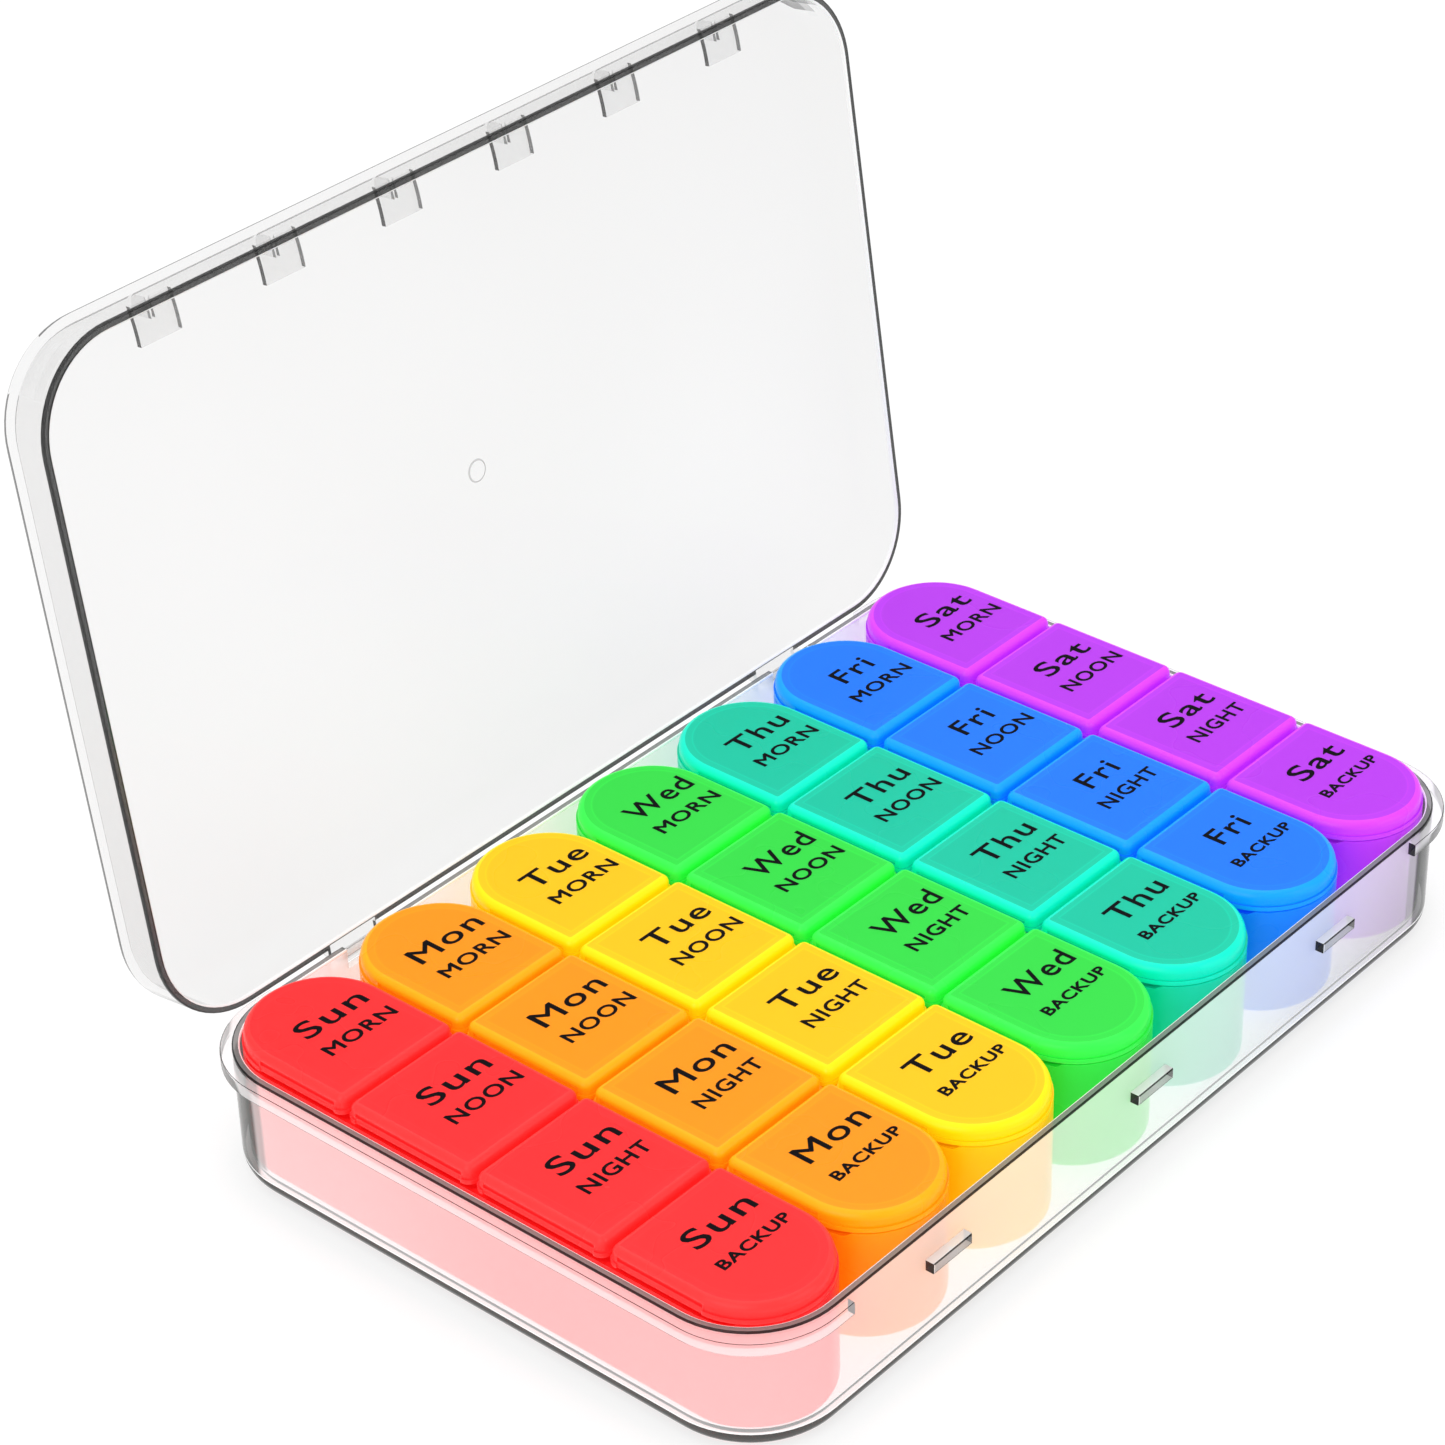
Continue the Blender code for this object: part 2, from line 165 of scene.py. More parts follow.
def smooth(piece, angle=35):
    calm()
    piece.select_set(True)
    bpy.context.view_layer.objects.active = piece
    bpy.ops.object.shade_smooth_by_angle(angle=math.radians(angle))
    modifier = piece.modifiers.new("even", 'WEIGHTED_NORMAL')
    modifier.keep_sharp = True
    bpy.ops.object.modifier_apply(modifier=modifier.name)
    return piece


def copyOf(piece, name, shift):
    twin = piece.copy()
    twin.data = piece.data.copy()
    twin.name = twin.data.name = name
    twin.data.transform(Matrix.Translation(shift))
    bpy.context.scene.collection.objects.link(twin)
    return twin


# a block with its upright corners rounded, each end by its own radius
def cornered(name, low, high, radiusLow, radiusHigh, stepsLow, stepsHigh):
    piece = block(name, low, high)
    middle = (low[1] + high[1]) / 2
    edit(piece)
    pick('EDGE', lambda m, a: abs(a.z) > mostly and m.y < middle)
    roundSelected(radiusLow, stepsLow)
    pick('EDGE', lambda m, a: abs(a.z) > mostly and m.y > high[1] - near)
    roundSelected(radiusHigh, stepsHigh)
    return tidyMesh(piece)


# clear case
caseSizes = {
    "wall": 1.5 * mm, "corner": 18.6 * mm, "cornerSteps": 16, "rimEdge": 0.35 * mm, "rimSteps": 3,
    "footSteps": 7, "innerSteps": 5,
    "floor": 2.0 * mm, "foot": 4.0 * mm, "footInner": 2.0 * mm,
    "panel": 1.5 * mm, "lidDepth": 12.4 * mm, "lidRound": 3.0 * mm, "lidRoundInner": 2.4 * mm,
    "rimGap": 0.2 * mm, "axisOut": 0.5 * mm,
}
ledgeSizes = {"reach": 1.6 * mm, "height": 2.7 * mm, "drop": 0.8 * mm, "endX": 85.5 * mm,
              "edge": 0.3 * mm}
bumpSizes = {"count": 3, "length": 10.6 * mm, "height": 2.2 * mm, "reach": 2.0 * mm, "drop": 6.3 * mm,
             "spacing": 59.3 * mm, "edge": 0.3 * mm}
hingeSizes = {"radius": 1.5 * mm, "knuckle": 12.0 * mm, "gap": 0.3 * mm, "pin": 0.7 * mm, "ear": 3.0 * mm,
              "taper": 3.0 * mm, "arm": 3.0 * mm, "armSteps": 4, "x": 62.0 * mm, "notch": 3.0 * mm,
              "boreHalf": 10.0 * mm, "pinSides": 24}
padSizes = {"count": 6, "length": 9.6 * mm, "reach": 7.6 * mm, "thick": 1.0 * mm, "curl": 1.0 * mm,
            "gap": 0.35 * mm, "steps": 7, "web": 0.9 * mm, "webReach": 4.0 * mm, "edge": 0.18 * mm}
gateSizes = {"radius": 2.2 * mm, "deep": 0.15 * mm, "sides": 40}
edgeSteps = 2  # segments across a small rounded edge

caseX = trayHigh.x - ledgeSizes["reach"]
caseY = lidAxis.y - caseSizes["axisOut"]
rim = trayHigh.z
lidBottom = rim + caseSizes["rimGap"]
lidTop = lidBottom + caseSizes["lidDepth"]
ledgeLow = rim - bumpSizes["drop"] - bumpSizes["height"] - mm  # the outside ribs are above this


def caseShell(name, low, high, side, depth, foot, footInner):  # side +1 opens upward, -1 downward
    piece = block(name, low, high)
    openZ = high[2] if side > 0 else low[2]
    edit(piece)
    pick('EDGE', lambda m, a: abs(a.z) > mostly)
    roundSelected(caseSizes["corner"], caseSizes["cornerSteps"])
    pick('FACE', lambda c, n: n.z * side < -mostly)
    roundSelected(foot, caseSizes["footSteps"], outline=True)
    pick('FACE', lambda c, n: n.z * side > mostly)
    bpy.ops.mesh.inset(thickness=caseSizes["wall"])
    push(z=-side * depth)
    roundSelected(footInner, caseSizes["innerSteps"], outline=True)
    pick('FACE', lambda c, n: n.z * side > mostly and abs(c.z - openZ) < mm / 100)
    roundSelected(caseSizes["rimEdge"], caseSizes["rimSteps"], outline=True)
    return tidyMesh(piece)


def ledge():
    s = ledgeSizes
    top = rim - s["drop"]
    bottom = top - s["height"]
    x, y = caseX + s["reach"], caseY + s["reach"]
    corner, steps = caseSizes["corner"], caseSizes["cornerSteps"]
    piece = cornered("ledge", (-x, -y, bottom), (x, y, top), corner, corner, steps, steps)
    edit(piece)
    pick('FACE', lambda c, n: abs(n.z) > mostly)
    roundSelected(s["edge"], edgeSteps, outline=True)
    inner = caseSizes["wall"] / 2
    core = cornered("core", (inner - caseX, inner - caseY, bottom - s["height"]),
                    (caseX - inner, caseY - inner, top + s["height"]),
                    corner - inner, corner - inner, steps, steps)
    middle = block("middle", (-s["endX"], -2 * y, bottom - s["height"]),
                   (s["endX"], 2 * y, top + s["height"]))
    return carve(piece, [core, middle])


def bump(x):
    s = bumpSizes
    top = rim - s["drop"]
    piece = block("bump", (x - s["length"] / 2, -caseY - s["reach"], top - s["height"]),
                  (x + s["length"] / 2, -caseY + caseSizes["wall"] / 2, top))
    edit(piece)
    pick('FACE', lambda c, n: n.y < -mostly)
    roundSelected(s["edge"], edgeSteps, outline=True)
    calm()
    return piece


def hingeEar(x0, x1):
    s = hingeSizes
    root = caseY - caseSizes["wall"] / 2
    wedge = block("wedge", (x0, root, lidAxis.z - s["radius"] - s["taper"]),
                  (x1, lidAxis.y, lidAxis.z + s["radius"]))
    edit(wedge)
    lowest = lidAxis.z - s["radius"] - mm
    pick('EDGE', lambda m, a: m.y > lidAxis.y - near and m.z < lowest and abs(a.x) > mostly)
    bpy.ops.transform.translate(value=(0, 0, s["taper"]))
    calm()
    ear = bar("ear", s["radius"], (x0, lidAxis.y, lidAxis.z), (x1, lidAxis.y, lidAxis.z))
    return carve(ear, [wedge], 'UNION')


def makeTray():
    tray = caseShell("clear_tray", (-caseX, -caseY, 0), (caseX, caseY, rim), 1, rim - caseSizes["floor"],
                     caseSizes["foot"], caseSizes["footInner"])
    s = hingeSizes
    room = s["knuckle"] / 2 + s["gap"]
    count = bumpSizes["count"]
    added = [ledge()]
    added += [bump((k - (count - 1) / 2) * bumpSizes["spacing"]) for k in range(count)]
    notches, pins = [], []
    for x in (-s["x"], s["x"]):
        added.append(hingeEar(x - room - s["ear"], x - room))
        added.append(hingeEar(x + room, x + room + s["ear"]))
        notches.append(block("notch", (x - room, caseY - s["notch"], lidAxis.z - s["radius"] - s["gap"]),
                             (x + room, caseY + s["notch"], rim + mm)))
        pins.append(bar("pin", s["pin"], (x - room - s["ear"] / 2, lidAxis.y, lidAxis.z),
                        (x + room + s["ear"] / 2, lidAxis.y, lidAxis.z), s["pinSides"]))
    carve(tray, added, 'UNION')
    carve(tray, notches)
    carve(tray, pins, 'UNION')
    return smooth(tray)


def pad(x):  # hold-down pad, curled down toward its free end
    s = padSizes
    root, face = caseSizes["wall"] / 2 - caseY, caseSizes["wall"] - caseY
    low = flapTop + s["gap"]
    piece = block("pad", (x - s["length"] / 2, root, low + s["curl"]),
                  (x + s["length"] / 2, face, low + s["curl"] + s["thick"]))
    edit(piece)
    for k in range(s["steps"]):
        drop = s["curl"] * ((1 - (k + 1) / s["steps"]) ** 2 - (1 - k / s["steps"]) ** 2)
        pick('FACE', lambda c, n: n.y > 0.6)
        push(y=s["reach"] / s["steps"], z=drop)
    pick('FACE', lambda c, n: n.y > 0.6)
    roundSelected(s["edge"], edgeSteps, outline=True)
    calm()
    return piece


def padWeb(x):
    s = padSizes
    low = flapTop + s["gap"] + s["thick"] / 2
    root = caseSizes["wall"] / 2 - caseY
    tip = caseSizes["wall"] - caseY + s["webReach"]
    piece = block("web", (x - s["web"] / 2, root, low),
                  (x + s["web"] / 2, tip, lidTop - caseSizes["panel"] / 2))
    edit(piece)
    pick('EDGE', lambda m, a: m.y < root + near and m.z < low + near and abs(a.x) > mostly)
    bpy.ops.transform.translate(value=(0, 0, s["curl"]))
    calm()
    return piece


def knuckle(x):
    s = hingeSizes
    half = s["knuckle"] / 2
    arm = block("arm", (x - half, lidAxis.y - s["radius"], lidAxis.z),
                (x + half, lidAxis.y + s["radius"], lidBottom + s["arm"]))
    edit(arm)
    pick('EDGE', lambda m, a: m.y > lidAxis.y and m.z > lidBottom and abs(a.x) > mostly)
    roundSelected(s["arm"] / 2, s["armSteps"])
    calm()
    barrel = bar("knuckle", s["radius"], (x - half, lidAxis.y, lidAxis.z), (x + half, lidAxis.y, lidAxis.z))
    return carve(barrel, [arm], 'UNION')


def makeLid():  # modelled shut, then turned open about the hinge axis
    s = caseSizes
    lid = caseShell("clear_lid", (-caseX, -caseY, lidBottom), (caseX, caseY, lidTop), -1,
                    s["lidDepth"] - s["panel"], s["lidRound"], s["lidRoundInner"])
    added, bores = [], []
    for k in range(padSizes["count"]):
        x = (k - (padSizes["count"] - 1) / 2) * dayPitch
        added += [pad(x), padWeb(x)]
    h = hingeSizes
    for x in (-h["x"], h["x"]):
        added.append(knuckle(x))
        bores.append(bar("bore", h["pin"] + h["gap"], (x - h["boreHalf"], lidAxis.y, lidAxis.z),
                         (x + h["boreHalf"], lidAxis.y, lidAxis.z), h["pinSides"]))
    bores.append(bar("gate", gateSizes["radius"], (0, 0, lidTop - gateSizes["deep"]),
                     (0, 0, lidTop + mm), gateSizes["sides"]))
    carve(lid, added, 'UNION')
    carve(lid, bores)
    smooth(lid)
    swing = Matrix.Translation(lidAxis) @ Matrix.Rotation(-openAngle, 4, 'X') @ Matrix.Translation(-lidAxis)
    lid.data.transform(swing)
    return lid


# day boxes
boxSizes = {"wall": 1.3 * mm, "floor": 1.4 * mm, "foot": 2.0 * mm, "topEdge": 0.3 * mm, "divider": 1.4 * mm,
            "pocketCorner": 2.4 * mm, "pocketFoot": 1.6 * mm, "endSteps": 18, "cornerSteps": 5,
            "footSteps": 5, "pocketSteps": 4}
flapSizes = {"corner": 2.0 * mm, "cornerSteps": 6, "round": 1.6 * mm, "roundSteps": 7, "lip": 0.9 * mm,
             "step": 0.35 * mm, "plate": 1.3 * mm, "skirt": 1.2 * mm,
             "sealInset": 3.1 * mm, "sealCorner": 1.3 * mm, "sealSteps": 4, "sealWall": 0.9 * mm,
             "sealReach": 0.9 * mm, "recessDeep": 0.9 * mm, "recessHigh": 0.8 * mm, "recessTop": 1.5 * mm,
             "recessEdge": 0.2 * mm, "recessSteps": 3, "ear": 2.3 * mm}
sweepSizes = {"gap": 0.15 * mm, "angles": (0, 12, 19, 25, 31), "sides": 64}  # degrees around a round end
knuckleBar = {"radius": 2.35 * mm, "end": 52.4 * mm, "sides": 48}
lastBay = len(times) - 1
hair = 0.99995  # a round end is a hair under its half width, so the last sliver merges away
roundEnd = boxHalf * hair
cuts = [boxEnd, flapPitch, 0, -flapPitch, -boxEnd]


def bayEnds(bay, margin):  # low and high y, with a margin only beside a neighbour
    low = cuts[bay + 1] + (margin if bay < lastBay else 0)
    high = cuts[bay] - (margin if bay > 0 else 0)
    return low, high


def sweepRoom():  # where the flaps' hinge sides turn, thinner toward each round end
    s = sweepSizes
    lowest = flapAxis.z - (flapTop - flapHeight)
    ease = flapSizes["round"] * (1 - math.sqrt(0.5))
    straight = boxEnd - boxHalf
    radii = []
    for angle in s["angles"]:
        edge = boxHalf * math.cos(math.radians(angle)) + flapAxis.x
        under = math.hypot(edge, lowest)
        over = math.hypot(edge - ease, boxHalf + flapAxis.x - ease)
        radii.append(max(under, over) + s["gap"])
    radii[-1] = under + s["gap"]
    sines = [math.sin(math.radians(angle)) for angle in s["angles"]]
    piece = bar("sweep", radii[0], (flapAxis.x, -straight, flapAxis.z),
                (flapAxis.x, straight, flapAxis.z), s["sides"])
    edit(piece)
    for side in (-1, 1):
        for k in range(1, len(radii)):
            step = boxHalf * (sines[k] - sines[k - 1])
            at = straight + boxHalf * sines[k]
            pick('FACE', lambda c, n: n.y * side > mostly)
            push(y=side * step)
            size = radii[k] / radii[k - 1]
            bpy.ops.transform.resize(value=(size, 1, size),
                                     center_override=(flapAxis.x, side * at, flapAxis.z))
    calm()
    return piece


def makeBox():
    s = boxSizes
    piece = cornered("day_box", boxLow, boxHigh, roundEnd, roundEnd, s["endSteps"], s["endSteps"])
    edit(piece)
    pick('FACE', lambda c, n: n.z < -mostly)
    roundSelected(s["foot"], s["footSteps"], outline=True)
    pick('FACE', lambda c, n: n.z > mostly)
    roundSelected(s["topEdge"], edgeSteps, outline=True)
    calm()
    pockets = []
    half = boxHalf - s["wall"]
    for bay in range(len(times)):
        frontEnd, backEnd = bay == lastBay, bay == 0
        low, high = bayEnds(bay, s["divider"] / 2)
        low += s["wall"] if frontEnd else 0
        high -= s["wall"] if backEnd else 0
        endRadius = half * hair
        pocket = cornered("pocket", (-half, low, boxLow.z + s["floor"]), (half, high, boxHigh.z + mm),
                          endRadius if frontEnd else s["pocketCorner"],
                          endRadius if backEnd else s["pocketCorner"],
                          s["endSteps"] if frontEnd else s["cornerSteps"],
                          s["endSteps"] if backEnd else s["cornerSteps"])
        edit(pocket)
        pick('FACE', lambda c, n: n.z < -mostly)
        roundSelected(s["pocketFoot"], s["pocketSteps"], outline=True)
        calm()
        pockets.append(pocket)
    pockets.append(sweepRoom())
    return smooth(carve(piece, pockets))


def makeFlap(bay):
    s = flapSizes
    frontEnd, backEnd = bay == lastBay, bay == 0
    endSteps = boxSizes["endSteps"]
    low, high = bayEnds(bay, flapGroove / 2)
    bottom = flapTop - flapHeight
    piece = cornered("flap", (-boxHalf, low, bottom), (boxHalf, high, bottom + s["lip"]),
                     roundEnd if frontEnd else s["corner"], roundEnd if backEnd else s["corner"],
                     endSteps if frontEnd else s["cornerSteps"], endSteps if backEnd else s["cornerSteps"])
    edit(piece)
    pick('FACE', lambda c, n: n.z > mostly)
    bpy.ops.mesh.inset(thickness=s["step"])
    push(z=flapHeight - s["lip"] - s["round"])
    crown(s["round"], s["roundSteps"])
    rise = flapHeight - s["plate"]
    pick('FACE', lambda c, n: n.z < -mostly)
    bpy.ops.mesh.inset(thickness=s["skirt"])
    push(z=rise)
    calm()
    inside = s["sealInset"]
    seal = cornered("seal", (inside - boxHalf, low + inside, bottom - s["sealReach"]),
                    (boxHalf - inside, high - inside, bottom + rise + s["plate"] / 2),
                    roundEnd - inside if frontEnd else s["sealCorner"],
                    roundEnd - inside if backEnd else s["sealCorner"],
                    endSteps if frontEnd else s["sealSteps"], endSteps if backEnd else s["sealSteps"])
    edit(seal)
    pick('FACE', lambda c, n: n.z < -mostly)
    bpy.ops.mesh.inset(thickness=s["sealWall"])
    push(z=rise + s["sealReach"])
    calm()
    start = -knuckleBar["end"] if frontEnd else low + s["ear"]
    end = knuckleBar["end"] if backEnd else high - s["ear"]
    top = flapTop - s["recessTop"]
    groove = block("groove", (-boxHalf - mm, start, top - s["recessHigh"]),
                   (-boxHalf + s["recessDeep"], end, top))
    edit(groove)
    pick('FACE', lambda c, n: n.x > mostly)
    roundSelected(s["recessEdge"], s["recessSteps"], outline=True)
    lipRoom = block("lip_room", (-boxHalf - mm, start, bottom - mm),
                    (-boxHalf + s["step"], end, top - s["recessHigh"] / 2))
    rail = bar("rail", knuckleBar["radius"], (flapAxis.x, start - s["recessEdge"], flapAxis.z),
               (flapAxis.x, end + s["recessEdge"], flapAxis.z), knuckleBar["sides"])
    carve(piece, [lipRoom])
    carve(piece, [seal, rail], 'UNION')
    return smooth(carve(piece, [groove]))


# printed words
printSizes = {"x": 2.1 * mm, "dayLine": 2.1 * mm, "timeLine": -4.6 * mm, "thick": 0.05 * mm, "spacing": 1.1,
              "capitalShare": 0.73, "dayWeight": 0.08, "timeWeight": 0.11, "curveSteps": 4}
dayCapital = 5.2
# each word and its width in millimetres
dayWords = {"sunday": ("Sun", 15.7), "monday": ("Mon", 16.9), "tuesday": ("Tue", 15.5),
            "wednesday": ("Wed", 16.6), "thursday": ("Thu", 15.1), "friday": ("Fri", 9.6),
            "saturday": ("Sat", 14.5)}
# each word, its width and the height of its capitals in millimetres
timeWords = {"morning": ("MORN", 17.0, 3.3), "noon": ("NOON", 17.6, 3.3), "night": ("NIGHT", 16.8, 3.3),
             "backup": ("BACKUP", 17.8, 2.5)}


def word(text, width, capital, x, y, weight):  # width, height and weight in millimetres
    calm()
    bpy.ops.object.text_add(location=(0, 0, 0))
    item = bpy.context.object
    item.data.body = text
    item.data.size = capital * mm / printSizes["capitalShare"]
    item.data.space_character = printSizes["spacing"]
    item.data.bevel_depth = weight * mm
    item.data.bevel_resolution = 0
    item.data.extrude = printSizes["thick"]
    item.data.resolution_u = printSizes["curveSteps"]
    bpy.ops.object.convert(target='MESH')
    item = bpy.context.object
    across = [v.co.x for v in item.data.vertices]
    up = [v.co.z for v in item.data.vertices]
    stretch = width * mm / (max(across) - min(across))
    flat = printSizes["thick"] / (max(up) - min(up))
    shift = Matrix.Translation((x - stretch * (max(across) + min(across)) / 2, y, flapTop))
    item.data.transform(shift @ Matrix.Diagonal((stretch, 1, flat, 1)))
    return item


def makePrint(day, time, x):
    p = printSizes
    row = (lastBay / 2 - times.index(time)) * flapPitch
    first = word(*dayWords[day], dayCapital, x + p["x"], row + p["dayLine"], p["dayWeight"])
    second = word(*timeWords[time], x + p["x"], row + p["timeLine"], p["timeWeight"])
    calm()
    second.select_set(True)
    first.select_set(True)
    bpy.context.view_layer.objects.active = first
    bpy.ops.object.join()
    first.name = first.data.name = day + "_" + time + "_print"
    return first


# finishes
class Signal:  # a socket that takes part in Python maths
    def __init__(self, finish, socket):
        self.finish, self.socket = finish, socket

    def maths(self, operation, first, second):
        return self.finish.add('ShaderNodeMath', {"operation": operation}, {0: first, 1: second})

    def __add__(self, other):
        return self.maths('ADD', self, other)

    __radd__ = __add__

    def __sub__(self, other):
        return self.maths('SUBTRACT', self, other)

    def __rsub__(self, other):
        return self.maths('SUBTRACT', other, self)

    def __mul__(self, other):
        return self.maths('MULTIPLY', self, other)

    __rmul__ = __mul__

    def __abs__(self):
        return self.maths('ABSOLUTE', self, 0.0)

    def __gt__(self, other):
        return self.maths('GREATER_THAN', self, other)

    def __lt__(self, other):
        return self.maths('LESS_THAN', self, other)


class Finish:
    def __init__(self, name):
        self.material = bpy.data.materials.new(name)
        self.material.use_nodes = True
        self.tree = self.material.node_tree
        self.shader = self.tree.nodes["Principled BSDF"]

    def feed(self, socket, value):
        if isinstance(value, Signal):
            self.tree.links.new(value.socket, socket)
        else:
            socket.default_value = value

    def add(self, kind, settings=None, values=None, output=0):
        node = self.tree.nodes.new(kind)
        for setting, value in (settings or {}).items():
            setattr(node, setting, value)
        for socket, value in (values or {}).items():
            self.feed(node.inputs[socket], value)
        return Signal(self, node.outputs[output])

    def mix(self, factor, first, second):
        return self.add('ShaderNodeMix', {"data_type": 'RGBA'}, {0: factor, 6: first, 7: second}, 2)

    def noise(self, place, scale, detail=3.0):
        return self.add('ShaderNodeTexNoise', {}, {"Vector": place, "Scale": scale, "Detail": detail})

    def split(self, vector):
        node = self.add('ShaderNodeSeparateXYZ', {}, {0: vector}).socket.node
        return [Signal(self, socket) for socket in node.outputs]

    def larger(self, first, second):
        return self.add('ShaderNodeMath', {"operation": 'MAXIMUM'}, {0: first, 1: second})

    def smaller(self, first, second):
        return self.add('ShaderNodeMath', {"operation": 'MINIMUM'}, {0: first, 1: second})

    def surface(self, **values):
        for socket, value in values.items():
            self.feed(self.shader.inputs[socket.replace("_", " ")], value)


pale, black = (0.95, 0.95, 0.95, 1), (0.004, 0.004, 0.004, 1)
# most of these marks are painted shade and painted highlights at the case's edges, rims, ribs and pads
clearLooks = {  # each part is a colour and how solid it looks
    "tray": {"body": (0.96, 0.97, 0.97, 1), "haze": 0.30, "edge": ((0.06, 0.066, 0.06, 1), 0.80),
             "edgeFrom": 0.555, "edgeTo": 0.63, "rimLine": 0.42 * mm, "lift": 0.17,
             "rimFace": ((0.15, 0.155, 0.15, 1), 0.82), "rimOuter": (black, 0.95), "rimInner": (pale, 0.90),
             "foot": ((0.022, 0.025, 0.022, 1), 0.94), "footLine": (pale, 0.75), "floor": (pale, 0.09)},
    "lid": {"body": (0.36, 0.35, 0.345, 1), "haze": 0.105, "edge": ((0.06, 0.062, 0.06, 1), 0.45),
            "edgeFrom": 0.80, "edgeTo": 0.90, "rimLine": 0.80 * mm, "lift": 0.05,
            "rimFace": ((0.015, 0.016, 0.015, 1), 0.90), "rimOuter": (black, 0.95), "rimInner": (pale, 0.8),
            "outline": ((0.03, 0.03, 0.03, 1), 0.85)},
    "end": (black, 0.95), "crease": ((0.015, 0.015, 0.015, 1), 0.9), "underCrease": (pale, 0.7),
    "bumpTop": ((0.75, 0.75, 0.75, 1), 0.75), "bumpFront": ((0.25, 0.25, 0.25, 1), 0.5),
    "padFace": ((0.62, 0.62, 0.62, 1), 0.19), "padTip": ((0.30, 0.30, 0.30, 1), 0.5),
    "web": ((0.45, 0.45, 0.45, 1), 0.12), "webEdge": ((0.08, 0.08, 0.08, 1), 0.65),
    "padLeft": ((0.02, 0.02, 0.02, 1), 0.85), "padRight": ((0.2, 0.2, 0.2, 1), 0.6),
    "gate": ((0.3, 0.3, 0.3, 1), 0.5), "shoulderFacing": 0.56, "footHigh": 4.0 * mm, "lineHigh": 0.35 * mm,
    "proud": 0.05 * mm, "gateRing": 0.18 * mm, "specular": 0.2, "roughness": 0.03, "roughSpread": 0.04,
    "hazeLow": 0.6, "hazeSpread": 0.8, "flowScale": 28.0, "driftScale": 9.0,
    # how upright a face is, from 0 level to 1 upright, where each of these marks shows
    "shoulderLow": 0.02, "shoulderHigh": 0.985, "creaseLow": 0.03, "creaseHigh": 0.86, "bandLow": 0.12,
    "floorFacing": 0.95,  # the floor's own measure, where 1 is level
}
levelFace = 0.985  # a face counts as level above this
# each day's second colour is lighter, used as a painted highlight on rounded faces and along the seal line
tints = {  # flat colour, colour where it is rounded
    "sunday": ((1.0, 0.022, 0.026, 1), (1.0, 0.040, 0.040, 1)),
    "monday": ((1.0, 0.300, 0.002, 1), (1.0, 0.43, 0.004, 1)),
    "tuesday": ((1.0, 0.55, 0.002, 1), (1.0, 0.80, 0.003, 1)),
    "wednesday": ((0.028, 0.68, 0.058, 1), (0.042, 0.95, 0.085, 1)),
    "thursday": ((0.002, 0.54, 0.35, 1), (0.002, 0.86, 0.62, 1)),
    "friday": ((0.006, 0.185, 0.98, 1), (0.004, 0.37, 1.0, 1)),
    "saturday": ((0.46, 0.036, 0.80, 1), (0.74, 0.06, 0.95, 1)),
}
tintLooks = {"specular": 0.22, "roughness": 0.24, "roughSpread": 0.08, "bury": 0.3, "depth": 3.0 * mm,
             "cap": 26.4 * mm, "glow": 0.14, "frameStart": 3.0 * mm, "frameEnd": 3.7 * mm, "shade": 0.93,
             "frameFill": 0.9, "frameLine": 0.16, "sealLightLine": 0.3 * mm, "roundBody": 0.35, "roundCap": 0.65,
             "roundHighlight": 0.85, "cloudScale": 40.0}


